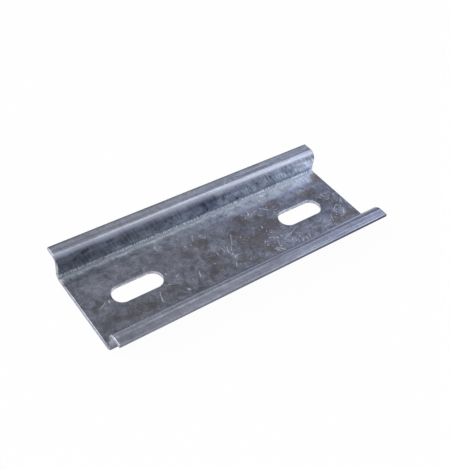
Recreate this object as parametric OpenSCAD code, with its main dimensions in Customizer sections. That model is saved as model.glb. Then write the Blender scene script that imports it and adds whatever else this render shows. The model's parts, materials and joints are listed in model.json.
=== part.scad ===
// Short length of 35 mm top-hat mounting rail, roll formed from one strip of
// galvanised steel and punched with obround screw slots in its base.
// The rail lies on its back: X runs along it, Z points away from the wall it
// is screwed to, and the origin is the middle of the back face.

/* [Rail] */
// Length between the two sheared ends
rail_length = 84; // [50:1:300]
// Width over the edges of the two lips
lip_span = 35; // [33:0.5:40]
// Width of the channel over the outside of its walls
channel_width = 27; // [20:0.5:28]
// Height from the back face to the top of the lips
rail_height = 7.5; // [6:0.1:15]

/* [Strip] */
// Thickness of the steel strip
strip = 1; // [0.8:0.05:1.5]
// Inside radius of the bend from base to wall
base_bend_r = 0.8; // [0.4:0.1:1.2]
// Inside radius of the bend from wall to lip
lip_bend_r = 1.5; // [0.4:0.1:1.6]
// Rounding of the strip's slit edges, along the lips
slit_edge_r = 0.2; // [0.05:0.05:0.35]

/* [Slots] */
// End-to-end length of a screw slot
slot_length = 14.2; // [8:0.1:20]
// Width of a screw slot
slot_width = 5.4; // [4:0.1:7.5]
// Distance from one slot's centre to the next
slot_pitch = 53.2; // [25:0.2:60]
// Least length of uncut base left beyond the last slot
slot_end_land = 5; // [3:0.5:10]
// Radius that the punch draws into the slot's upper rim
punch_draw_r = 0.25; // [0.05:0.05:0.4]

/* [Hidden] */
$fn = 96;

// Flats left between the bends of the folded strip.
half_base_flat = channel_width / 2 - strip - base_bend_r;
wall_flat = rail_height - 2 * strip - base_bend_r - lip_bend_r;
lip_flat = (lip_span - channel_width) / 2 - lip_bend_r;

// The slots are a row at a fixed pitch, centred on the rail: as many as its length holds.
slot_count = 1 + floor((rail_length - 2 * slot_end_land - slot_length) / slot_pitch);
slot_offset = slot_pitch * (slot_count - 1) / 2;

// How far a cutting shape runs past the faces that it cuts.
overcut = 1;

// A flat of the strip: it starts at the origin, runs along +X and is centred on the X axis.
module flat(run) {
    translate([0, -strip / 2]) square([run, strip]);
}

// A quarter-turn bend of the strip, from the origin towards +Y (side 1) or -Y (side -1).
module quarter_bend(inside_r, side) {
    mid_r = inside_r + strip / 2;
    outside_r = inside_r + strip;
    translate([0, side * mid_r])
        intersection() {
            difference() {
                circle(r = outside_r);
                circle(r = inside_r);
            }
            mirror([0, side > 0 ? 1 : 0]) square(outside_r);
        }
}

// What follows a quarter-turn bend starts where the bend ends, turned by 90 degrees.
module after_bend(inside_r, side) {
    mid_r = inside_r + strip / 2;
    translate([mid_r, side * mid_r]) rotate(90 * side) children();
}

// The last flat of the strip, with both corners of its slit edge rounded.
module edge_flat(run) {
    flat(run - slit_edge_r);
    translate([0, slit_edge_r - strip / 2]) square([run, strip - 2 * slit_edge_r]);
    for (side = [-1, 1])
        translate([run - slit_edge_r, side * (strip / 2 - slit_edge_r)]) circle(r = slit_edge_r);
}

// Half of the folded strip, from the middle of the base out to the lip's edge.
module half_section() {
    flat(half_base_flat);
    translate([half_base_flat, 0]) {
        quarter_bend(base_bend_r, 1);
        after_bend(base_bend_r, 1) {
            flat(wall_flat);
            translate([wall_flat, 0]) {
                quarter_bend(lip_bend_r, -1);
                after_bend(lip_bend_r, -1) edge_flat(lip_flat);
            }
        }
    }
}

// The whole section, standing on the back face.
module section() {
    translate([0, strip / 2]) {
        half_section();
        mirror([1, 0]) half_section();
    }
}

// Half of the punched hole's outline through the strip, from its axis to its wall:
// straight for most of the thickness, and flared where the punch drew the rim down.
module punch_half_profile(half_width) {
    translate([0, -overcut]) square([half_width, strip + 2 * overcut]);
    difference() {
        translate([0, strip - punch_draw_r]) square([half_width + punch_draw_r, punch_draw_r + overcut]);
        translate([half_width + punch_draw_r, strip - punch_draw_r]) circle(r = punch_draw_r);
    }
}

// One obround punch through the base, centred on the origin and lying along X.
module slot_punch() {
    half_width = slot_width / 2;
    straight = slot_length - slot_width;
    for (side = [-1, 1])
        translate([side * straight / 2, 0, 0])
            rotate_extrude() punch_half_profile(half_width);
    rotate([90, 0, 90])
        linear_extrude(straight, center = true) {
            punch_half_profile(half_width);
            mirror([1, 0]) punch_half_profile(half_width);
        }
}

module rail() {
    color([0.62, 0.65, 0.70])
        difference() {
            rotate([90, 0, 90]) linear_extrude(rail_length, center = true) section();
            for (i = [0 : slot_count - 1])
                translate([i * slot_pitch - slot_offset, 0, 0]) slot_punch();
        }
}

rail();
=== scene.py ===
"""A short length of 35 mm top-hat mounting rail, in worn galvanised steel.

The strip is modelled flat, as it is before it goes through the rolls: x runs along it,
s runs across it from its middle, and h goes through its thickness, from the back to the
face that becomes the inside of the channel. Slots, sheared ends, slit edges and the
strip's small unevenness are all set out on the flat strip, and fold() then bends every
point of it into the top-hat section.
"""

import functools
import json
import math

import bmesh
import bpy
import numpy as np
from mathutils import Matrix, Vector


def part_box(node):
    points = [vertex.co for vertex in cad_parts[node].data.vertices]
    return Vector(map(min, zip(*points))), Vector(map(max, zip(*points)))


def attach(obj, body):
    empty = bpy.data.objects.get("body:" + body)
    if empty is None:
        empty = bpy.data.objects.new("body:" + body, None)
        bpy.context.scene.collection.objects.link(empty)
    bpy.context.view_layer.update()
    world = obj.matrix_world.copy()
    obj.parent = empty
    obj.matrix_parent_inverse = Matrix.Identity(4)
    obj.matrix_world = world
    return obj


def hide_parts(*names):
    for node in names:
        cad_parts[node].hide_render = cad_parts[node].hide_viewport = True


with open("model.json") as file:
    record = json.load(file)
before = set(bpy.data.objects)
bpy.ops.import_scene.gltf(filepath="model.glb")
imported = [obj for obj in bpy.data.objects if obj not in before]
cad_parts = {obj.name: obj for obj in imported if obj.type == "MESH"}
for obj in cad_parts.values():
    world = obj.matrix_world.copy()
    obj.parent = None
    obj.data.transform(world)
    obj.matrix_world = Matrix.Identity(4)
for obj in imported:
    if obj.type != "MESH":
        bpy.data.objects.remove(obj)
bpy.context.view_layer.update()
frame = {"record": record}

# ---------------------------------------------------------------------------
# Sizes, in millimetres
# ---------------------------------------------------------------------------

MM = 0.001
rail_low, rail_high = (np.array(corner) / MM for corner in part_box("rail"))
RAIL_LENGTH, LIP_SPAN, RAIL_HEIGHT = rail_high - rail_low

mounts = {mount["name"]: mount for mount in frame["record"]["mounts"]}
SLOTS = mounts["screw_slots"]["dims"]
SLOT_PITCH = SLOTS["spacing_x_mm"]
SLOT_LENGTH = SLOTS["slot_length_mm"]
SLOT_RADIUS = SLOTS["hole_r_mm"]
SLOT_CENTRES = [(i - (SLOTS["count"] - 1) / 2) * SLOT_PITCH for i in range(SLOTS["count"])]

STRIP = 1.0
CHANNEL_WIDTH = 27.0
BASE_BEND_R = 0.8
LIP_BEND_R = 1.5
SLIT_EDGE_R = 0.2
PUNCH_DRAW_R = 0.25

# What the rolls leave flat between the bends, and the bends' length along the strip's middle.
BASE_FLAT = CHANNEL_WIDTH / 2 - STRIP - BASE_BEND_R
WALL_FLAT = RAIL_HEIGHT - 2 * STRIP - BASE_BEND_R - LIP_BEND_R
LIP_FLAT = (LIP_SPAN - CHANNEL_WIDTH) / 2 - LIP_BEND_R
QUARTER = math.pi / 2
BASE_BEND = QUARTER * (BASE_BEND_R + STRIP / 2)
LIP_BEND = QUARTER * (LIP_BEND_R + STRIP / 2)

# The strip's stretches from its middle outwards: length, and curvature, which is positive up.
STRETCHES = (
    (BASE_FLAT, 0.0),
    (BASE_BEND, QUARTER / BASE_BEND),
    (WALL_FLAT, 0.0),
    (LIP_BEND, -QUARTER / LIP_BEND),
    (LIP_FLAT, 0.0),
)
HALF_WIDTH = sum(length for length, curvature in STRETCHES)
LIP_START = HALF_WIDTH - LIP_FLAT


# ---------------------------------------------------------------------------
# The strip
# ---------------------------------------------------------------------------

def fold(s, h):
    """Returns the y and z of points of the flat strip once it is folded.

    Each stretch adds what the point has run through of it: the run times the cosine and
    sine of its heading on a flat, and the difference of the heading's sines and cosines
    over the curvature on a bend. h is then laid off square to the last heading.
    """
    distance = np.abs(s)
    heading = np.zeros_like(distance)
    y = np.zeros_like(distance)
    z = np.full_like(distance, STRIP / 2)
    begin = 0.0
    for length, curvature in STRETCHES:
        run = np.clip(distance - begin, 0, length)
        begin += length
        turned = heading + curvature * run
        if curvature:
            y += (np.sin(turned) - np.sin(heading)) / curvature
            z += (np.cos(heading) - np.cos(turned)) / curvature
        else:
            y += run * np.cos(heading)
            z += run * np.sin(heading)
        heading = turned
    return np.where(s < 0, -1, 1) * (y - h * np.sin(heading)), z + h * np.cos(heading)


def ripples(seed, count, shortest, longest):
    """Returns a smooth random function of (u, v), between about -1 and 1.

    It is a sum of sine waves with random directions, phases and wavelengths, each with
    an amplitude in proportion to its wavelength.
    """
    dice = np.random.default_rng(seed)
    wavelength = dice.uniform(shortest, longest, count)
    angle = dice.uniform(0, math.pi, count)
    phase = dice.uniform(0, 2 * math.pi, count)
    share = wavelength / wavelength.sum() * 2

    def height(u, v):
        along = u[..., None] * np.cos(angle) + v[..., None] * np.sin(angle)
        return (share * np.sin(2 * math.pi * along / wavelength + phase)).sum(-1)

    return height


# Unevenness of the rolled strip, and what the rolls and the punch press into its face.
WAVE_HEIGHT = 0.02
wave = ripples(seed=3, count=9, shortest=7, longest=30)
# Each line of the rolls: where it lies across the half strip, its depth and its width.
ROLL_MARKS = (
    (LIP_START + 0.25, 0.022, 0.22),
    (LIP_START + 1.75, 0.012, 0.14),
    (BASE_FLAT - 0.3, 0.015, 0.25),
)
DISH_DEPTH = 0.05
DISH_REACH = 0.55


def slot_distance(x, s):
    """Distance from the nearest slot's wall: to the slot's middle line, less its radius."""
    half_line = SLOT_LENGTH / 2 - SLOT_RADIUS
    distances = []
    for centre in SLOT_CENTRES:
        past_end = np.maximum(np.abs(x - centre) - half_line, 0)
        distances.append(np.hypot(past_end, s) - SLOT_RADIUS)
    return np.minimum.reduce(distances)


def relief(x, s, h):
    """How far a point of the strip lies off its true place, through the thickness.

    Both faces share slow waves, which fade out towards the flat back. The face alone
    has the dish round each slot, an exponential of the distance to its wall, and the
    lines of the rolls, which are bell curves across the strip.
    """
    on_face = np.clip(h / STRIP + 0.5, 0, 1) ** 2
    lift = WAVE_HEIGHT * (wave(x, s) - 1) * on_face
    lift -= DISH_DEPTH * np.exp(-np.maximum(slot_distance(x, s), 0) / DISH_REACH) * on_face
    for place, depth, width in ROLL_MARKS:
        lift -= depth * np.exp(-((np.abs(s) - place) / width) ** 2) * on_face
    return lift


def spread(*parts):
    """Joins evenly spaced stretches: a first value, then (last value, steps) of each stretch."""
    values = [np.array([parts[0]])]
    for last, steps in parts[1:]:
        values.append(np.linspace(values[-1][-1], last, steps + 1)[1:])
    return np.concatenate(values)


def grid_faces(rows, columns, closed=False):
    """Quads between neighbours in a grid of points. A closed grid's last column joins its first."""
    number = np.arange(rows * columns).reshape(rows, columns)
    if closed:
        number = np.concatenate([number, number[:, :1]], axis=1)
    corners = (number[:-1, :-1], number[:-1, 1:], number[1:, 1:], number[1:, :-1])
    return np.stack(corners, axis=-1)


# Half the length and width of the window that the skin leaves open round each slot.
WINDOW_X = SLOT_LENGTH / 2 + 4.6
WINDOW_S = 8.0

# Lines along the strip, from its middle out to where its slit edge begins to round.
half_lines = spread(
    0.0,
    (WINDOW_S, 20),
    (BASE_FLAT, 12),
    (BASE_FLAT + BASE_BEND, 12),
    (BASE_FLAT + BASE_BEND + WALL_FLAT, 9),
    (LIP_START, 14),
    (LIP_START + 0.6, 8),
    (HALF_WIDTH - SLIT_EDGE_R, 15),
)
CROSS_LINES = np.concatenate([-half_lines[:0:-1], half_lines])

# How the sheared end rounds off: the last sections draw in along a quarter circle as they
# near the end, and the back and the slit edges draw in by a share of what the face does.
END_R = 0.3
END_ROUND_STEPS = 6
BACK_SHARE = 0.3
SIDE_SHARE = 0.5
end_turn = np.linspace(0, QUARTER, END_ROUND_STEPS + 1)
END_INSET = END_R * (1 - np.cos(end_turn))
END_RUN = END_R * np.sin(end_turn)

# Stations along the strip, closest together where the slots are.
half_stations = spread(
    0.0,
    (SLOT_CENTRES[-1] - WINDOW_X, 24),
    (SLOT_CENTRES[-1] + WINDOW_X, 40),
    (RAIL_LENGTH / 2 - END_R - 0.3, 5),
    (RAIL_LENGTH / 2 - END_R, 2),
)
STATIONS = np.concatenate([-half_stations[:0:-1], half_stations])

# Levels through the thickness on a cut, from the face of the strip to its back.
CUT_LEVELS = np.linspace(1, -1, 9)
EDGE_PACE = 1.6


def outline():
    """The strip's section as (s, round_s, level), from the face round to the back.

    level is the height through the thickness, from 1 on the face to -1 on the back, and
    round_s is how far the rounding of the slit edge pushes a point out, as a share of
    its radius. Down a slit edge an angle turns by half a circle. round_s is its cosine,
    and level is its sine, blended with EDGE_PACE times its sine held between -1 and 1,
    which leaves the middle of the edge nearly straight.
    """
    turn = np.linspace(QUARTER, -QUARTER, len(CUT_LEVELS))[1:-1]
    straight = 1 - 2 * SLIT_EDGE_R / STRIP
    level = straight * np.clip(np.sin(turn) * EDGE_PACE, -1, 1) + (1 - straight) * np.sin(turn)
    face = np.stack([CROSS_LINES, CROSS_LINES * 0, CROSS_LINES * 0 + 1])
    edge = np.stack([turn * 0 + CROSS_LINES[-1], np.cos(turn), level])
    back = face[:, ::-1] * np.array([[1], [1], [-1]])
    other_edge = edge[:, ::-1] * np.array([[-1], [-1], [1]])
    return np.concatenate([face, edge, back, other_edge], axis=1)


def section_points(inset):
    """The outline's s and h, drawn in by inset at the face and by less at the back and the edges."""
    s, round_s, level = outline()
    reach = STRIP / 2 - inset * np.where(level > 0, 1, BACK_SHARE)
    return s + round_s * (SLIT_EDGE_R - inset * SIDE_SHARE), level * reach


def windows(x):
    """True where a station lies inside a slot's window."""
    return np.any([np.abs(x - centre) < WINDOW_X for centre in SLOT_CENTRES], axis=0)


def skin():
    """The strip's outer skin: its outline at each station, left open round the slots."""
    places = np.concatenate([-(RAIL_LENGTH / 2 - END_R) - END_RUN[:0:-1], STATIONS,
                             RAIL_LENGTH / 2 - END_R + END_RUN[1:]])
    insets = np.concatenate([END_INSET[:0:-1], STATIONS * 0, END_INSET[1:]])
    loops = [section_points(inset) for inset in insets]
    s = np.array([loop[0] for loop in loops])
    h = np.array([loop[1] for loop in loops])
    x = np.broadcast_to(places[:, None], s.shape)
    faces = grid_faces(*s.shape, closed=True)
    middle_x = (x[:-1] + x[1:]) / 2
    middle_s = (s[:-1] + np.roll(s, -1, axis=1)[1:]) / 2
    open_here = windows(middle_x) & (np.abs(middle_s) < WINDOW_S)
    return np.stack([x, s, h], axis=-1).reshape(-1, 3), faces[~open_here]


# The sheared face tears below a level, over a ramp, by a step with a rough surface.
TEAR_LEVEL = 0.35
TEAR_RAMP = 0.5
FRACTURE_STEP = 0.04
FRACTURE_ROUGHNESS = 0.018
FRACTURE_TALLNESS = 0.7
fracture = ripples(seed=11, count=24, shortest=0.5, longest=3.0)


def cut_depth(s, level):
    """How far a sheared face stands back: not at all on its smooth upper land, then by a rough step."""
    torn = np.clip((TEAR_LEVEL - level) / TEAR_RAMP, 0, 1)
    rough = fracture(s, level * FRACTURE_TALLNESS) + 1
    return torn * (FRACTURE_STEP + FRACTURE_ROUGHNESS * rough)


def end_face(side):
    """A sheared end: rows from the face to the back, with a column down each slit edge.

    The rows are straight blends of the last section's face and back.
    """
    s, h = section_points(END_R)
    count = len(CROSS_LINES)
    face, edge, back, other_edge = np.split(
        np.arange(len(s)), np.cumsum([count, len(CUT_LEVELS) - 2, count]))
    back = back[::-1]
    other_edge = other_edge[::-1]
    right = np.concatenate([face[-1:], edge, back[-1:]])
    left = np.concatenate([face[:1], other_edge, back[:1]])
    mix = (1 - CUT_LEVELS[:, None]) / 2
    rows_s = s[face] * (1 - mix) + s[back] * mix
    rows_h = h[face] * (1 - mix) + h[back] * mix
    grid_s = np.column_stack([s[left], rows_s, s[right]])
    grid_h = np.column_stack([h[left], rows_h, h[right]])
    level = np.broadcast_to(CUT_LEVELS[:, None], grid_s.shape)
    border = np.zeros(grid_s.shape, bool)
    border[[0, -1]] = True
    border[:, [0, -1]] = True
    depth = np.where(border, 0, cut_depth(grid_s, level))
    points = np.stack([side * (RAIL_LENGTH / 2 - depth), grid_s, grid_h], axis=-1)
    return points.reshape(-1, 3), grid_faces(*grid_s.shape)


# The slot's wall from its upper rim down, as how far it stands out from the slot's radius,
# and h. The punch draws the upper rim down in a quarter circle and cuts the upper part
# straight, the rest tears away outwards, and a small quarter circle ends it at the back.
PUNCH_TEAR_TOP = 0.1
PUNCH_TEAR_RAMP = 0.2
PUNCH_TEAR_OUT = 0.12
LOWER_RIM_R = 0.06
draw_turn = np.linspace(0, QUARTER, 6)
rim_turn = np.linspace(0, QUARTER, 4)
wall_h = np.linspace(STRIP / 2 - PUNCH_DRAW_R, -STRIP / 2 + LOWER_RIM_R, 9)
wall_out = PUNCH_TEAR_OUT * np.clip((PUNCH_TEAR_TOP - wall_h) / PUNCH_TEAR_RAMP, 0, 1)
SLOT_WALL = np.concatenate([
    np.stack([PUNCH_DRAW_R * (1 - np.sin(draw_turn)),
              STRIP / 2 - PUNCH_DRAW_R * (1 - np.cos(draw_turn))], axis=1),
    np.stack([wall_out, wall_h], axis=1)[1:-1],
    np.stack([PUNCH_TEAR_OUT + LOWER_RIM_R * (1 - np.cos(rim_turn)),
              -STRIP / 2 + LOWER_RIM_R * (1 - np.sin(rim_turn))], axis=1),
])
# The bare cut runs from two steps above the drawn rim's foot to one step short of the back.
BARE_WALL = slice(len(draw_turn) - 3, len(SLOT_WALL) - 2)

# Rings on the flats round a slot, as shares of the way from the rim out to the window.
RING_SHARES = np.array([0.03, 0.07, 0.13, 0.21, 0.32, 0.46, 0.62, 0.8, 1.0])


def window_border(centre):
    """Points of the skin's own lines round a slot's window, in order, relative to the slot."""
    x = STATIONS[np.abs(STATIONS - centre) < WINDOW_X + 1e-6] - centre
    s = CROSS_LINES[np.abs(CROSS_LINES) < WINDOW_S + 1e-6]
    return np.concatenate([
        np.stack([x, x * 0 - WINDOW_S], axis=1)[:-1],
        np.stack([s * 0 + WINDOW_X, s], axis=1)[:-1],
        np.stack([x, x * 0 + WINDOW_S], axis=1)[:0:-1],
        np.stack([s * 0 - WINDOW_X, s], axis=1)[:0:-1],
    ])


def slot(centre):
    """One slot's wall and the flats round it, as rings about the slot's middle line.

    Every point of the window's border has its nearest point on the middle line, and the
    rings step along the straight line between the two. Returns the points, the faces,
    and which faces are cut by the punch.
    """
    border = window_border(centre)
    half_line = SLOT_LENGTH / 2 - SLOT_RADIUS
    core = np.stack([np.clip(border[:, 0], -half_line, half_line), border[:, 0] * 0], axis=1)
    reach = np.linalg.norm(border - core, axis=1)
    out = (border - core) / reach[:, None]
    wall = np.broadcast_to(SLOT_RADIUS + SLOT_WALL[:, 0], (len(border), len(SLOT_WALL)))
    upper = wall[:, :1] + (reach[:, None] - wall[:, :1]) * RING_SHARES[::-1]
    lower = wall[:, -1:] + (reach[:, None] - wall[:, -1:]) * RING_SHARES
    away = np.concatenate([upper, wall, lower], axis=1)
    flat = np.full(len(RING_SHARES), STRIP / 2)
    height = np.concatenate([flat, SLOT_WALL[:, 1], -flat])
    points = np.stack([
        centre + core[:, :1] + away * out[:, :1],
        core[:, 1:] + away * out[:, 1:],
        np.broadcast_to(height, away.shape),
    ], axis=-1)
    faces = grid_faces(away.shape[1], len(border), closed=True)
    cut = np.zeros(faces.shape[:2], bool)
    cut[len(RING_SHARES):][BARE_WALL] = True
    return points.transpose(1, 0, 2).reshape(-1, 3), faces.reshape(-1, 4), cut.reshape(-1)


# The rail's two materials, by their slot on the mesh.
SKIN = 0
CUT = 1
# The attribute in which each point of the mesh keeps its place on the flat strip.
STRIP_PLACE = "place on the flat strip"
# Points that lie closer together than this are welded.
WELD_GAP = 0.0005


def make_rail(name, materials):
    """Joins the skin, the sheared ends and the slots, folds them, and welds them shut.

    Each point keeps its place on the flat strip, which the materials read.
    """
    parts = [(*skin(), SKIN)]
    parts += [(*end_face(side), CUT) for side in (-1, 1)]
    parts += [slot(centre) for centre in SLOT_CENTRES]
    points = np.concatenate([part[0] for part in parts])
    firsts = np.cumsum([0] + [len(part[0]) for part in parts])
    faces = np.concatenate([part[1].reshape(-1, 4) + first for part, first in zip(parts, firsts)])
    kinds = np.concatenate([np.broadcast_to(part[2], part[1].size // 4) for part in parts])

    x, s, h = points.T
    y, z = fold(s, h + relief(x, s, h))
    place = np.stack([x, y, z], axis=1) * MM

    mesh = bpy.data.meshes.new(name)
    mesh.from_pydata(place.tolist(), [], faces.tolist())
    mesh.polygons.foreach_set("material_index", kinds.astype(np.int32))
    flat = mesh.attributes.new(STRIP_PLACE, "FLOAT_VECTOR", "POINT")
    flat.data.foreach_set("vector", points.astype(np.float32).ravel())
    for material in materials:
        mesh.materials.append(material)
    weld = bmesh.new()
    weld.from_mesh(mesh)
    bmesh.ops.remove_doubles(weld, verts=weld.verts, dist=WELD_GAP * MM)
    loose = [vertex for vertex in weld.verts if not vertex.link_faces]
    bmesh.ops.delete(weld, geom=loose, context="VERTS")
    bmesh.ops.recalc_face_normals(weld, faces=weld.faces)
    weld.to_mesh(mesh)
    weld.free()
    mesh.polygons.foreach_set("use_smooth", np.ones(len(mesh.polygons), bool))
    piece = bpy.data.objects.new(name, mesh)
    bpy.context.scene.collection.objects.link(piece)
    even = piece.modifiers.new("even shading", "WEIGHTED_NORMAL")
    even.weight = 50
    return piece


# ---------------------------------------------------------------------------
# Nodes
# ---------------------------------------------------------------------------

class Amount:
    """A number that changes over a surface. Arithmetic on it adds Math nodes beside its own."""

    def __init__(self, nodes, socket):
        self.nodes = nodes
        self.socket = socket

    def maths(self, operation, *values):
        """The result of one Math node."""
        node = self.nodes.add("ShaderNodeMath", {"operation": operation}, dict(enumerate(values)))
        return Amount(self.nodes, node.outputs[0])

    def __add__(self, other):
        return self.maths("ADD", self, other)

    def __sub__(self, other):
        return self.maths("SUBTRACT", self, other)

    def __rsub__(self, other):
        return self.maths("SUBTRACT", other, self)

    def __mul__(self, other):
        return self.maths("MULTIPLY", self, other)

    def __abs__(self):
        return self.maths("ABSOLUTE", self)

    __radd__ = __add__
    __rmul__ = __mul__

    def over(self, other):
        """The larger of the two."""
        return self.maths("MAXIMUM", self, other)

    def step(self, low, high):
        """Rises smoothly from 0 at low to 1 at high, or falls where high is below low."""
        settings = {"interpolation_type": "SMOOTHSTEP"}
        values = {"Value": self, "From Min": low, "From Max": high}
        if high < low:
            values.update({"From Min": high, "From Max": low, "To Min": 1.0, "To Max": 0.0})
        node = self.nodes.add("ShaderNodeMapRange", settings, values)
        return Amount(self.nodes, node.outputs[0])


class Nodes:
    """The nodes of a material, or of the world."""

    def __init__(self, owner):
        owner.use_nodes = True
        self.tree = owner.node_tree
        self.tree.nodes.clear()

    def feed(self, socket, value):
        """Links a socket to an amount or to another socket, or fills it with a plain value."""
        if isinstance(value, Amount):
            value = value.socket
        if isinstance(value, bpy.types.NodeSocket):
            self.tree.links.new(value, socket)
        else:
            socket.default_value = value

    def add(self, kind, settings=None, sockets=None):
        """Makes a node, gives it its settings, then feeds its sockets."""
        node = self.tree.nodes.new(kind)
        for name, value in (settings or {}).items():
            setattr(node, name, value)
        for name, value in (sockets or {}).items():
            self.feed(node.inputs[name], value)
        return node

    def seen_by(self, *kinds):
        """1 for rays of any of these kinds, and 0 for all others."""
        path = self.add("ShaderNodeLightPath")
        return functools.reduce(Amount.over, (Amount(self, path.outputs[kind]) for kind in kinds))


class Finish(Nodes):
    """One finish of the strip. Places are on the flat strip: x, s and h, in millimetres."""

    def __init__(self, name):
        self.material = bpy.data.materials.new(name)
        super().__init__(self.material)
        self.shader = self.add("ShaderNodeBsdfPrincipled")
        self.add("ShaderNodeOutputMaterial", sockets={"Surface": self.shader.outputs[0]})
        self.place = self.add("ShaderNodeAttribute", {"attribute_name": STRIP_PLACE}).outputs["Vector"]

    def set(self, **values):
        """Feeds the shader's own sockets. An underscore stands for a space."""
        for name, value in values.items():
            self.feed(self.shader.inputs[name.replace("_", " ")], value)

    def vector(self, operation, first, others=None):
        """A Vector Math node's result: an amount from a length, a distance or a dot product."""
        node = self.add("ShaderNodeVectorMath", {"operation": operation}, {0: first, **(others or {})})
        if operation in ("LENGTH", "DISTANCE", "DOT_PRODUCT"):
            return Amount(self, node.outputs["Value"])
        return node.outputs["Vector"]

    def along(self, axis):
        """How far a point lies along an axis of the flat strip."""
        return self.vector("DOT_PRODUCT", self.place, {1: axis})

    def noise(self, place, size, detail=3.0, roughness=0.55, twist=0.0):
        """Cloudy noise about 0.5, whose patches are about size millimetres across."""
        values = {"Vector": place, "Scale": 1 / size, "Detail": detail, "Roughness": roughness,
                  "Distortion": twist}
        return Amount(self, self.add("ShaderNodeTexNoise", None, values).outputs["Fac"])

    def drawn_out(self, angle, length):
        """The place turned, and shortened by length, so that a pattern on it is drawn out that way.

        The pattern's long side then lies at angle degrees to x. A length under 1 draws it in.
        """
        turned = self.add("ShaderNodeMapping", {"vector_type": "TEXTURE"}, {
            "Vector": self.place, "Rotation": (0, 0, math.radians(angle)), "Scale": (length, 1, 1)})
        return turned.outputs[0]

    def warped(self, place, size, amount):
        """The place pushed about by noise, so that straight marks turn ragged."""
        values = {"Vector": place, "Scale": 1 / size, "Detail": 2.0}
        push = self.add("ShaderNodeTexNoise", None, values).outputs["Color"]
        push = self.vector("SUBTRACT", push, {1: (0.5, 0.5, 0.5)})
        return self.vector("MULTIPLY_ADD", push, {1: (amount, amount, 0), 2: place})

    def worms(self, place, size, width):
        """Thin winding lines: 1 where cloudy noise crosses its middle value."""
        return abs(self.noise(place, size, detail=1.0) - 0.5).step(width, 0)

    def blend(self, share, first, second):
        """A colour between two, which are the Mix node's sockets 6 and 7."""
        mix = self.add("ShaderNodeMix", {"data_type": "RGBA"}, {0: share, 6: first, 7: second})
        return mix.outputs[2]

    def shade(self, colour, amount):
        """A colour made lighter or darker."""
        return self.vector("SCALE", colour, {3: amount})

    def across(self, s, stops):
        """An amount that follows s, straight from stop to stop. Each stop is an s and its amount."""
        span = 2 * HALF_WIDTH
        low = min(amount for at, amount in stops)
        high = max(amount for at, amount in stops)
        node = self.add("ShaderNodeValToRGB", None, {0: s * (1 / span) + 0.5})
        ramp = node.color_ramp
        for at, amount in stops[1:-1]:
            ramp.elements.new(at / span + 0.5)
        for element, (at, amount) in zip(ramp.elements, stops):
            share = (amount - low) / (high - low)
            element.position = at / span + 0.5
            element.color = (share, share, share, 1)
        return Amount(self, node.outputs[0]) * (high - low) + low

    def oval(self, place, x, s, length, width):
        """A soft patch about (x, s): 1 in its middle, fading to 0 a little outside its border.

        The place is moved and scaled so that the border is a circle of radius 1.
        """
        framed = self.vector("MULTIPLY_ADD", place, {
            1: (2 / length, 2 / width, 0), 2: (-2 * x / length, -2 * s / width, 0)})
        return self.vector("LENGTH", framed).step(1.15, 0.25)

    def stroke(self, place, start, end, width):
        """A thin mark from one point to another, which is 1 on the line between them.

        There a place's distances to the two points add up to length. The mark fades to 0 at
        the ellipse where they add up to hypot(length, fade), which is fade wide.
        """
        fade = 1.25 * width
        length = math.dist(start, end)
        there_and_back = (self.vector("DISTANCE", place, {1: (*start, 0)})
                          + self.vector("DISTANCE", place, {1: (*end, 0)}))
        return there_and_back.step(math.hypot(length, fade), length)

    def bump(self, height, strength, distance):
        """Feeds the shader's Normal from a height, whose unit stands for distance millimetres."""
        values = {"Height": height, "Strength": strength, "Distance": distance * MM}
        self.set(Normal=self.add("ShaderNodeBump", None, values).outputs[0])


def strongest(shape, place, rows):
    """The strongest of many marks of one shape at a place. Each row holds one mark's values."""
    return functools.reduce(Amount.over, (shape(place, *row) for row in rows))


# ---------------------------------------------------------------------------
# Finishes
# ---------------------------------------------------------------------------

# The zinc's colours, as linear red, green and blue, and alpha.
ZINC = (0.417, 0.438, 0.536, 1)
ZINC_COOL = (0.383, 0.425, 0.595, 1)
ZINC_TEAL = (0.404, 0.45, 0.503, 1)
ZINC_BLUE = (0.352, 0.395, 0.52, 1)
ZINC_BROWN = (0.366, 0.357, 0.425, 1)
ZINC_HAZE = (0.58, 0.63, 0.78, 1)
ZINC_RUBBED = (0.73, 0.757, 0.85, 1)

# All places below are in mm. Out from the strip's middle, the base ends at s = 11.7, its bend at
# 13.7, the wall at 16.9, the lip's bend at 20.1 and the lip at 22.6. The near half has a minus.

# How light the zinc is across the strip, as stops of s and an amount: painted highlights on the far
# bend and on the lips, which are also rubbed, painted shade on the shoulders and the slit edges, and
# lines along the lips, partly painted reflection and partly from the rolls.
TONE_NEAR = (
    (-22.55, 0.35), (-22.42, 1.0), (-22.15, 1.6), (-21.75, 1.1), (-21.3, 1.3), (-20.9, 1.15),
    (-20.45, 1.55), (-19.9, 1.05), (-19.6, 1.4), (-19.1, 1.45), (-18.7, 1.1), (-18.3, 0.7),
    (-17.0, 0.5), (-9.6, 1.0),
)
TONE_FAR = (
    (4.0, 0.95), (7.0, 1.05), (8.0, 1.15), (8.8, 1.0), (9.4, 0.85), (10.4, 1.0), (11.3, 1.45),
    (11.7, 1.4), (12.2, 0.7), (12.6, 0.85), (13.0, 1.6), (13.4, 1.6), (13.8, 0.8), (14.2, 0.73),
    (15.4, 1.06), (16.9, 1.15), (17.3, 1.1), (17.7, 0.8), (18.1, 0.66), (18.6, 0.85), (19.0, 0.82),
    (19.4, 0.95), (19.8, 1.3), (20.2, 1.35), (20.5, 1.2), (21.2, 1.6), (21.8, 1.65), (22.1, 1.1),
    (22.3, 0.9), (22.55, 0.2),
)
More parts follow.
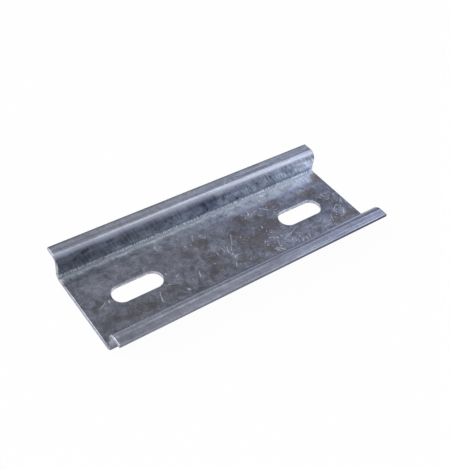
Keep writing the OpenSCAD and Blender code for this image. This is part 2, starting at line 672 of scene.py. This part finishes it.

# Painted light along the rail: how much lighter it gets towards the rail's right end, which reflects
# more light, and darker towards its left, as a share.
PAINTED_LIGHT_ALONG_RAIL = (
    (-22.55, -0.6), (-22.4, 0.2), (-21.4, 0.1), (-20.6, 0.1), (-20.0, -0.15), (-19.2, -0.15),
    (-18.0, 0.0), (-9.6, 0.2), (-7.0, 0.15), (-3.0, 0.0), (5.0, 0.0), (7.5, 0.3), (8.8, 0.35),
    (9.5, 0.6), (11.0, 0.3), (11.7, 0.15), (12.2, 0.35), (12.6, 0.35), (13.0, -0.05), (13.4, -0.2),
    (14.2, 0.15), (16.5, 0.05), (17.3, 0.35), (17.7, 0.3), (18.3, 0.5), (18.9, 0.15), (19.4, 0.0),
    (20.0, -0.15), (20.6, 0.25), (21.2, 0.1), (22.5, 0.2),
)

# How far its colour goes over to teal: a painted reflection tint, which the far wall and the base at
# its foot take from each other, and which also takes some blue out of the far highlight.
TEAL_ACROSS = (
    (8.6, 0.0), (9.4, 0.7), (11.2, 0.7), (12.0, 0.5), (13.2, 0.5), (13.8, 1.0), (16.9, 1.0),
    (17.5, 0.3), (18.6, 0.2), (19.6, 0.5), (20.2, 0.1), (21.0, 0.2), (22.5, 0.2),
)

# Patches of brown tarnish, pale haze and blue oxide: x and s of the middle, length and width.
TARNISH = (
    (7.5, -1.8, 9, 7), (10.0, 5.0, 6, 7), (14.4, 5.0, 4.5, 6), (16.5, 0.5, 7, 7), (5.2, 2.4, 4.4, 5),
    (12.0, -1.0, 6, 5), (2.4, -6.4, 7, 3.6), (5.2, -8.6, 5, 2.8), (10.4, -6.0, 7, 3.6),
    (-5.4, -1.5, 6, 6), (-6.0, -5.8, 9, 5.6), (-4.8, 3.8, 7, 6), (-10.4, 3.4, 4, 7),
    (-20.0, -4.6, 6, 4.6), (-18.6, -8.2, 6, 2.6), (-13.8, -8.7, 6, 2), (-12.0, -7.0, 3, 3),
    (-11.8, -1.8, 3, 2.6), (-29.0, -6.0, 14, 5), (-37.0, -6.0, 9, 5.6), (-24.6, -7.0, 3, 5),
    (-38.4, -0.6, 4.5, 1.8), (21.4, 6.8, 6, 3.6), (34.5, 5.2, 6.5, 5), (36.0, 0.4, 5, 2.4),
    (26.4, -8.8, 4, 3), (35.6, -8.0, 5, 4.6), (39.6, -7.4, 5, 5), (41.2, 8.2, 7, 6.5),
    (-24.0, 3.8, 5, 1.4),
)
HAZE = (
    (17.2, -6.9, 5, 4.6), (38.4, -4.4, 4, 2.4), (38.0, -6.0, 2, 2.6), (-14.0, -5.4, 4, 3.4),
    (-11.2, -5.0, 2.4, 3.2), (-16.2, -7.3, 2.2, 2), (-9.8, -7.2, 3, 3), (-7.0, 1.6, 2.6, 4),
    (0.4, -1.0, 4, 8), (-2.0, 1.0, 3, 4), (12.8, 7.0, 6, 3), (24.0, -6.0, 8, 4), (31.0, -6.4, 6, 4),
    (-15.2, 9.0, 3.4, 3), (25.4, 5.2, 4, 1.6), (40.6, 4.2, 2, 1.4), (-36.0, 5.5, 9, 7),
    (-27.0, 6.5, 8, 3), (9.4, 9.2, 2.6, 1.2), (38.6, 2.4, 3, 2.4), (30.0, 6.8, 14, 3.4),
    (39.5, 15.2, 9, 4),
)
OXIDE = (
    (5.0, 9.8, 8, 1.8), (3.0, -3.0, 5, 5), (6.0, -5.0, 4, 2.6), (-12.0, 9.7, 6, 1.2),
    (-25.0, 9.9, 7, 1.4), (-33.0, 9.9, 9, 1.8), (38.5, -1.6, 7, 4), (36.0, 8.7, 3.6, 0.9),
    (33.0, 8.5, 1, 2.4), (24.0, 4.9, 3, 1.2), (20.4, -2.9, 3, 2), (-14.6, -2.6, 3, 4),
    (3.0, 16.4, 13, 6), (41.0, 16.0, 8, 6),
)

# Scratches and knocks: x and s of one end, x and s of the other, and the width.
SCRATCHES = (
    # A long V beside the middle, and the hook under it.
    ((4.4, 3.0), (2.3, -0.4), 0.22), ((2.3, -0.4), (0.9, -2.2), 0.24),
    ((0.0, 1.2), (0.1, -1.2), 0.16), ((0.9, -0.2), (0.1, -1.8), 0.3),
    ((0.1, -1.2), (-0.1, -2.6), 0.34), ((0.5, -2.9), (0.7, -3.5), 0.5),
    ((0.3, -4.5), (1.1, -4.1), 0.5), ((1.1, -4.1), (2.1, -4.1), 0.36),
    ((-0.3, -6.1), (-1.4, -7.6), 0.26), ((-2.9, 0.6), (-2.8, -1.2), 0.14),
    ((-2.9, -1.1), (-2.9, -1.7), 0.46), ((-0.8, 1.2), (-0.7, -1.6), 0.14),
    # Knocks between the middle and the right slot.
    ((13.5, 1.2), (13.4, 0.2), 0.46), ((12.1, 0.5), (12.6, 0.2), 0.3),
    ((10.8, 1.8), (11.0, 1.5), 0.4), ((5.8, 0.5), (6.2, 0.8), 0.36),
    ((13.8, -0.7), (13.6, -1.2), 0.36), ((14.1, -2.1), (14.8, -2.3), 0.4),
    ((13.3, -2.5), (13.5, -2.1), 0.34), ((12.7, -3.3), (13.2, -3.7), 0.44),
    ((10.7, -4.4), (11.2, -3.9), 0.46), ((11.4, -4.3), (11.8, -4.5), 0.34),
    ((13.9, -3.6), (14.0, -4.6), 0.42), ((14.7, -4.1), (15.0, -4.9), 0.46),
    ((15.9, -4.3), (16.3, -4.7), 0.44), ((10.5, -5.6), (10.9, -5.3), 0.36),
    ((13.7, -6.2), (13.8, -6.8), 0.44), ((13.4, -7.4), (14.1, -7.5), 0.48),
    ((3.3, -7.2), (3.8, -7.0), 0.44), ((11.2, 7.5), (11.5, 7.2), 0.46),
    ((11.4, 5.6), (12.0, 6.2), 0.34), ((13.0, 6.2), (13.9, 7.8), 0.3),
    ((14.2, 6.4), (16.6, 7.0), 0.28), ((18.2, 6.3), (18.7, 5.9), 0.42),
    ((19.0, 5.8), (19.3, 5.2), 0.44), ((17.4, 7.0), (18.1, 6.7), 0.34),
    ((15.4, 5.2), (16.6, 4.2), 0.26), ((8.3, 9.9), (8.3, 8.8), 0.4), ((8.3, 9.1), (10.0, 9.8), 0.32),
    # A fan of strokes, a long scratch to the slot, and a row of short strokes.
    ((11.4, -7.3), (12.7, -9.2), 0.34), ((12.1, -7.1), (13.4, -8.8), 0.3),
    ((12.9, -7.8), (14.2, -9.5), 0.36), ((17.2, -5.6), (19.8, -4.8), 0.34),
    ((19.8, -4.8), (22.4, -3.8), 0.26), ((19.6, -7.6), (18.9, -9.3), 0.3),
    ((20.9, -8.2), (20.2, -9.4), 0.32), ((22.2, -8.1), (21.7, -9.4), 0.36),
    ((23.3, -7.8), (22.8, -9.3), 0.32), ((25.1, -8.9), (24.7, -9.6), 0.34),
    ((18.3, -6.6), (17.4, -8.4), 0.24),
    # Round the right slot and on to the end.
    ((20.5, 4.3), (20.4, 3.2), 0.32), ((20.8, 4.8), (21.5, 4.3), 0.28),
    ((21.5, 4.3), (22.5, 4.7), 0.26), ((36.1, -3.8), (37.2, -3.1), 0.34),
    ((37.2, -3.1), (38.6, -2.9), 0.34), ((36.0, -4.1), (36.1, -5.3), 0.26),
    ((33.9, -4.9), (32.8, -7.8), 0.22), ((38.8, -4.9), (37.4, -6.9), 0.5),
    ((40.6, -1.7), (40.2, -3.4), 0.36), ((41.6, -0.9), (39.4, -2.7), 0.24),
    ((36.8, 1.2), (36.8, 0.3), 0.24), ((36.8, 0.2), (38.5, 0.5), 0.28),
    ((39.9, 0.8), (40.8, 1.1), 0.4), ((35.0, 2.6), (35.4, 2.2), 0.36),
    ((35.8, 2.2), (35.9, 1.4), 0.36), ((38.0, 3.0), (38.4, 2.4), 0.28),
    ((38.4, 2.4), (39.3, 2.6), 0.28), ((36.5, 7.0), (37.9, 5.6), 0.32),
    ((28.9, -8.1), (30.4, -8.0), 0.44), ((37.4, 1.8), (36.9, 3.0), 0.22),
    # The left half, which has fewer.
    ((-5.9, 6.0), (-5.6, 6.9), 0.34), ((-5.6, 6.9), (-4.6, 7.7), 0.34),
    ((-3.8, 6.6), (-2.8, 6.7), 0.34), ((-2.2, 5.9), (-2.4, 5.3), 0.4),
    ((-7.2, 5.2), (-6.9, 4.9), 0.6), ((-9.0, 5.2), (-8.7, 5.4), 0.6),
    ((-5.3, -3.9), (-5.7, -3.3), 0.36), ((-35.0, -0.2), (-35.2, -1.2), 0.5),
    ((-36.1, -0.4), (-38.0, -1.5), 0.28), ((-22.8, -4.3), (-23.4, -5.8), 0.26),
    ((-23.4, -5.8), (-23.8, -7.6), 0.34), ((-15.7, 9.4), (-16.2, 8.4), 0.5),
    ((-16.0, 8.4), (-15.9, 7.6), 0.36), ((-15.4, -1.7), (-16.9, -2.4), 0.24),
    ((-19.8, -3.2), (-19.1, -3.8), 0.34), ((-10.5, -3.6), (-11.3, -5.6), 0.34),
    ((-18.6, 0.2), (-18.2, -0.6), 0.4), ((-16.4, -7.0), (-15.8, -7.7), 0.6),
    # On the walls, the bends and the lips.
    ((-13.9, 14.1), (-13.4, 13.5), 0.4), ((22.6, 14.8), (24.3, 13.7), 0.32),
    ((24.0, 14.4), (23.2, 15.0), 0.24), ((9.2, 18.6), (11.6, 21.6), 0.16),
    ((10.6, 18.4), (13.0, 21.0), 0.14), ((-5.0, 15.8), (-2.6, 15.2), 0.24),
    ((10.8, 17.8), (13.4, 15.0), 0.22), ((17.0, 16.8), (17.3, 16.2), 0.4),
    ((19.4, 10.4), (20.6, 11.4), 0.3), ((38.0, -18.6), (41.8, -18.8), 0.9),
    ((0.3, 11.7), (0.2, 11.1), 0.46), ((36.0, 11.2), (37.4, 11.1), 0.36),
)
# Dark streaks on the far wall, given as the scratches are.
PLUMES = (
    ((10.4, 17.6), (12.6, 15.0), 0.9), ((11.4, 15.8), (13.8, 14.0), 1.8),
    ((19.9, 17.4), (21.2, 14.2), 1.0), ((16.4, 17.8), (19.4, 14.4), 0.8),
    ((24.4, 17.8), (27.4, 14.4), 0.7), ((30.2, 17.4), (33.2, 14.2), 0.6),
    ((8.2, 17.8), (8.8, 14.6), 1.0), ((-11.0, 17.4), (-7.6, 14.6), 0.8),
    ((1.0, 17.8), (3.4, 14.4), 1.6), ((-38.0, 16.8), (-33.0, 18.2), 1.2),
    ((-28.4, 17.8), (-26.0, 18.0), 0.8),
)


class Regions:
    """Where on the strip a point lies. Each region is 1 inside and fades to 0 at its borders."""

    def __init__(self, finish):
        self.s = finish.along((0, 1, 0))
        # From -1 at the rail's left end to 1 at its right end.
        self.run = finish.along((2 / RAIL_LENGTH, 0, 0))
        self.off_middle = abs(self.s)
        self.base = self.off_middle.step(11.9, 11.0)
        self.lip = self.off_middle.step(18.8, 20.2)
        # All but the back.
        self.face = finish.along((0, 0, 1)).step(-0.45, -0.2)
        # The bends from base to wall, and then the wall on the far side.
        self.bend = self.off_middle.step(10.7, 11.3) * self.off_middle.step(14.1, 13.4) * self.face
        self.far_wall = self.s.step(13.2, 13.8) * self.s.step(19.0, 17.9) * self.face
        # The base along the foot of the far wall, up to a little short of the right end.
        self.far_foot = self.s.step(7.8, 9.4) * self.s.step(12.2, 11.4) * self.face
        self.far_foot *= self.run.step(1.0, 0.9)
        # The bends from wall to lip. The far one's border leans along the rail.
        self.far_shoulder = self.s.step(16.8, 17.4) * (self.s + self.run * 0.5).step(19.4, 18.6)
        self.near_shoulder = self.s.step(-17.0, -17.8) * self.s.step(-19.0, -18.4)


class Grain:
    """The zinc's patterns: first cloudy ones, from large to fine, then those drawn out one way."""

    def __init__(self, finish):
        place = finish.place
        self.clouds = finish.noise(place, 6.0, detail=5.0, roughness=0.6, twist=0.5)
        self.blotches = finish.noise(place, 1.8, detail=6.0, roughness=0.7, twist=0.8)
        self.wisps = finish.noise(place, 1.4, detail=5.0, roughness=0.7, twist=2.0)
        self.specks = finish.noise(place, 0.4, detail=3.0, roughness=0.6)
        self.brushed = finish.noise(finish.drawn_out(-62, 6.0), 0.5, detail=4.0, roughness=0.6)
        self.hatched = finish.noise(finish.drawn_out(95, 5.0), 0.28, detail=3.0, roughness=0.6)
        self.rolled = finish.noise(finish.drawn_out(0, 30.0), 0.3, detail=3.0)
        one_way = finish.noise(finish.drawn_out(28, 12.0), 0.16, detail=2.0)
        other_way = finish.noise(finish.drawn_out(-48, 10.0), 0.16, detail=2.0)
        self.hairlines = one_way.step(0.62, 0.72).over(other_way.step(0.62, 0.72))


class Marks:
    """Patches, streaks and scratches. Each is 1 where it is strongest, and noise makes it ragged."""

    def __init__(self, finish, on, grain):
        flat = finish.vector("MULTIPLY", finish.place, {1: (1, 1, 0)})
        ragged = finish.warped(flat, 1.5, 0.5)
        wandering = finish.warped(flat, 3.0, 7.0)
        tarnish = strongest(finish.oval, wandering, TARNISH)
        self.haze = strongest(finish.oval, wandering, HAZE)
        self.oxide = strongest(finish.oval, wandering, OXIDE)
        self.plumes = strongest(finish.stroke, ragged, PLUMES)

        # Scratches mark the face alone, and not the edges that turn down from it.
        scratches = strongest(finish.stroke, ragged, SCRATCHES)
        scratches *= finish.along((0, 0, 1)).step(0.3, 0.45)
        # Fine scuffs on the base: winding lines in some patches, and crossed hairlines in others.
        winding = finish.worms(finish.warped(finish.place, 2.0, 2.0), 1.1, 0.03)
        winding *= finish.noise(finish.place, 2.2, detail=1.0).step(0.52, 0.64)
        self.scuffs = winding.over(grain.hairlines * grain.clouds.step(0.5, 0.6) * 0.6) * on.base
        # Short ticks across the far bend, away from the rail's ends.
        ticks = grain.hatched.step(0.46, 0.62) * on.s.step(12.7, 13.0) * on.s.step(13.6, 13.3)
        ticks *= abs(on.run).step(0.9, 0.4)
        self.worn = scratches.over(self.scuffs * (0.6 + on.run * 0.3)).over(ticks * 0.6)

        tarnish += (grain.blotches - 0.5) * 1.6 + (grain.clouds - 0.5) * 1.2
        self.tarnish = tarnish.step(0.25, 0.75) * on.base


def lightness(finish, on, grain, marks):
    """How light the zinc is beside its plain colour: bands across the strip, mostly painted
    reflections, highlights and shade, times the patterns.
    """
    pattern = (grain.blotches - 0.5) * 2.0 + (grain.specks - 0.5) * 0.8
    pattern *= 1 - marks.tarnish * 0.5
    pattern += (grain.clouds - 0.5) * 0.6 + marks.haze * (grain.wisps - 0.2) * 0.9
    pattern -= marks.tarnish * 0.16 + marks.oxide * 0.15

    # The bands waver, apart from those along the lips.
    sway = (grain.clouds - 0.5) + (grain.blotches - 0.5) * 0.7
    wavy = on.s + sway * on.off_middle.step(20.5, 19.0)
    # Painted reflections, highlights and shade across the strip, with some real rubbing on the lips.
    tone = finish.across(wavy, TONE_NEAR) * finish.across(wavy, TONE_FAR)
    # Painted light: lighter towards the rail's right end and darker towards its left.
    tone *= 1 + on.run * finish.across(wavy, PAINTED_LIGHT_ALONG_RAIL)
    tone = 1 + (tone - 1) * on.face

    texture = on.base * pattern
    # The back has more blotches, and painted shade: it is dark under the base, where the rail stands on
    # the floor, and lighter up the walls' outer sides.
    texture += (1 - on.face) * ((grain.blotches - 0.5) * 0.8 - on.off_middle.step(17.8, 13.4) * 0.65)
    texture += on.far_foot * (grain.brushed - 0.5) * 1.4
    texture += on.bend * on.off_middle.step(11.8, 12.8) * (grain.hatched.step(0.38, 0.62) - 0.5)
    texture += on.far_wall * ((grain.brushed - 0.5) * (2.2 + on.run * 0.5) + (grain.clouds - 0.5) * 1.6
                              + marks.haze * 0.3 - marks.plumes * 0.4 - marks.oxide * 0.25)
    texture += on.lip * ((grain.rolled - 0.5) * (1.3 + on.run * 0.6)
                         + (grain.blotches - 0.5) * 0.9 + (grain.hatched - 0.5) * 0.5)
    return tone * (1 + texture)


def tint(finish, on, grain, marks):
    """The zinc's colour, with painted tints of reflected light, before it is made lighter or darker."""
    # Painted colour of light: bluer towards the right end and on the far shoulder, where cooler light
    # is reflected.
    cool = on.run.step(-0.6, 1.0).over(on.far_shoulder * 0.8)
    colour = finish.blend(cool, ZINC, ZINC_COOL)
    # Painted reflection tint across the strip.
    colour = finish.blend(finish.across(on.s, TEAL_ACROSS) * on.face, colour, ZINC_TEAL)
    colour = finish.blend(marks.oxide, colour, ZINC_BLUE)
    colour = finish.blend(marks.tarnish, colour, ZINC_BROWN)
    return finish.blend(grain.wisps.step(0.5, 0.62) * on.base * 0.4, colour, ZINC_HAZE)


def zinc():
    """Worn zinc: blotched in the channel, brushed on its far wall, and streaked along the lips."""
    finish = Finish("galvanised zinc")
    on = Regions(finish)
    grain = Grain(finish)
    marks = Marks(finish, on, grain)

    tone = lightness(finish, on, grain, marks)
    colour = finish.shade(tint(finish, on, grain, marks), tone)
    colour = finish.blend(marks.worn * 0.65, colour, ZINC_RUBBED)
    roughness = 0.2 + (grain.blotches - 0.5) * 0.25 + (grain.brushed - 0.5) * on.far_wall * 0.2
    roughness += on.lip * 0.12 + on.bend * 0.25 + on.near_shoulder * 0.4 + on.far_shoulder * 0.25
    finish.set(Base_Color=colour, Metallic=1 - on.far_foot * 0.5,
               Roughness=roughness + marks.worn * 0.3, Specular_Tint=(0.6, 0.6, 0.65, 1))

    height = (grain.blotches * 0.4 + grain.specks * 0.1) * (1 - on.near_shoulder)
    height += marks.scuffs * 0.3 + grain.hatched * on.bend * 0.2
    height += grain.rolled * on.lip * 0.3 + grain.brushed * on.far_wall * 0.3
    finish.bump(height, 0.5, 0.04)
    return finish.material


# The cut steel's colours.
STEEL = (0.42, 0.425, 0.47, 1)
STEEL_BRIGHT = (0.67, 0.69, 0.76, 1)


def cut_steel():
    """Steel as the shear and the punch leave it: bright where they cut, duller where it tore."""
    finish = Finish("sheared steel")
    lines = finish.noise(finish.drawn_out(0, 0.25), 0.16, detail=3.0)
    patches = finish.noise(finish.place, 1.0, detail=3.0)
    torn = finish.along((0, 0, 1)).step(0.14, 0.04)
    # The cut ends are darker across the near wall.
    s = finish.along((0, 1, 0))
    darker_across_near_wall = s.step(-11.8, -13.8) * s.step(-21.0, -17.0)
    colour = finish.blend(lines.step(0.35, 0.65), STEEL, STEEL_BRIGHT)
    colour = finish.shade(colour, 1 - torn * 0.25 - darker_across_near_wall * 0.45 + (patches - 0.5) * 1.8)
    finish.set(Base_Color=colour, Metallic=1.0, Roughness=0.38 + (patches - 0.5) * 0.2)
    finish.bump(lines, 0.4, 0.04)
    return finish.material


# ---------------------------------------------------------------------------
# Studio
# ---------------------------------------------------------------------------

def direction(azimuth, elevation):
    """A unit vector: azimuth in degrees from +X towards +Y, elevation above the floor."""
    a, e = math.radians(azimuth), math.radians(elevation)
    return Vector((math.cos(a) * math.cos(e), math.sin(a) * math.cos(e), math.sin(e)))


def soft_box(name, azimuth, elevation, distance, size, brightness):
    """An area lamp that faces the rail, and looks brightness times as bright as plain white.

    It stands distance metres from the rail's middle, and its size is in metres too.
    """
    lamp = bpy.data.lights.new(name, "AREA")
    lamp.shape = "RECTANGLE"
    lamp.size, lamp.size_y = size
    lamp.energy = brightness * math.pi * size[0] * size[1]
    holder = bpy.data.objects.new(name, lamp)
    towards = direction(azimuth, elevation)
    holder.location = towards * distance
    holder.rotation_euler = towards.to_track_quat("Z", "Y").to_euler()
    bpy.context.scene.collection.objects.link(holder)


# The floor's half width in metres, and how much of its white a shadow can take away.
FLOOR_REACH = 4.0
FLOOR_SHADED = 0.04


def floor():
    """A wide white floor. The camera and the metal see it as plain white under a faint shadow."""
    mesh = bpy.data.meshes.new("floor")
    corners = [(x * FLOOR_REACH, y * FLOOR_REACH, 0) for x, y in ((-1, -1), (1, -1), (1, 1), (-1, 1))]
    mesh.from_pydata(corners, [], [(0, 1, 2, 3)])
    material = bpy.data.materials.new("white floor")
    nodes = Nodes(material)
    seen = nodes.seen_by("Is Camera Ray", "Is Glossy Ray", "Is Transmission Ray")
    matt = nodes.add("ShaderNodeBsdfDiffuse", None, {"Color": (0.9, 0.9, 0.9, 1)})
    white = nodes.add("ShaderNodeEmission")
    both = nodes.add("ShaderNodeMixShader", None, {
        0: seen * (1 - FLOOR_SHADED), 1: matt.outputs[0], 2: white.outputs[0]})
    nodes.add("ShaderNodeOutputMaterial", None, {"Surface": both.outputs[0]})
    mesh.materials.append(material)
    plane = bpy.data.objects.new("floor", mesh)
    bpy.context.scene.collection.objects.link(plane)


# How bright the room is beside white, and the elevations between which the horizon fades to it.
ROOM = 0.312
HORIZON_TOP = 4.0
HORIZON_FADE = 6.0


def studio_air():
    """The world: a dim room above a low white horizon. The camera itself sees white all over."""
    world = bpy.data.worlds.new("studio")
    bpy.context.scene.world = world
    nodes = Nodes(world)
    towards = nodes.add("ShaderNodeTexCoord").outputs["Generated"]
    up = Amount(nodes, nodes.add("ShaderNodeSeparateXYZ", None, {0: towards}).outputs["Z"])
    horizon = up.step(math.sin(math.radians(HORIZON_FADE)), math.sin(math.radians(HORIZON_TOP)))
    strength = (horizon * (1 - ROOM) + ROOM).over(nodes.seen_by("Is Camera Ray"))
    air = nodes.add("ShaderNodeBackground", None, {"Color": (1, 1, 1, 1), "Strength": strength})
    nodes.add("ShaderNodeOutputWorld", None, {"Surface": air.outputs[0]})


# The camera stands back from the point it aims at, turned a little about its line of sight.
CAMERA_AIM = Vector((1.64, 2.31, 2.85)) * MM
CAMERA_DISTANCE = 198.1 * MM
CAMERA_AZIMUTH = -41.67
CAMERA_ELEVATION = 44.74
CAMERA_ROLL = 8.02
CAMERA_LENS = 57.07


def camera():
    """The camera. At azimuth 0 it looks along +Y."""
    lens = bpy.data.cameras.new("camera")
    lens.lens = CAMERA_LENS
    lens.sensor_width = 36.0
    lens.clip_start = 0.005
    holder = bpy.data.objects.new("camera", lens)
    back = direction(CAMERA_AZIMUTH - 90, CAMERA_ELEVATION)
    right = Vector((0, 0, 1)).cross(back).normalized()
    up = back.cross(right)
    turn = Matrix.Rotation(math.radians(CAMERA_ROLL), 3, "Z")
    holder.matrix_world = (Matrix((right, up, back)).transposed() @ turn).to_4x4()
    holder.location = CAMERA_AIM + back * CAMERA_DISTANCE
    bpy.context.scene.collection.objects.link(holder)
    bpy.context.scene.camera = holder


camera()
bpy.context.scene.view_settings.view_transform = "Standard"
studio_air()
floor()
soft_box("window", -27, 36, 0.8, (0.36, 0.66), 1.41)
soft_box("overhead", 10, 60, 0.8, (0.36, 0.6), 1.06)
soft_box("left fill", 150, 42, 1.0, (1.0, 1.0), 1.53)
soft_box("front fill", -130, 58, 1.0, (0.8, 0.8), 1.18)
soft_box("low front", -60, 14, 0.8, (0.5, 0.16), 0.5)

rail = make_rail("folded_strip", [zinc(), cut_steel()])
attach(rail, "root")
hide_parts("rail")
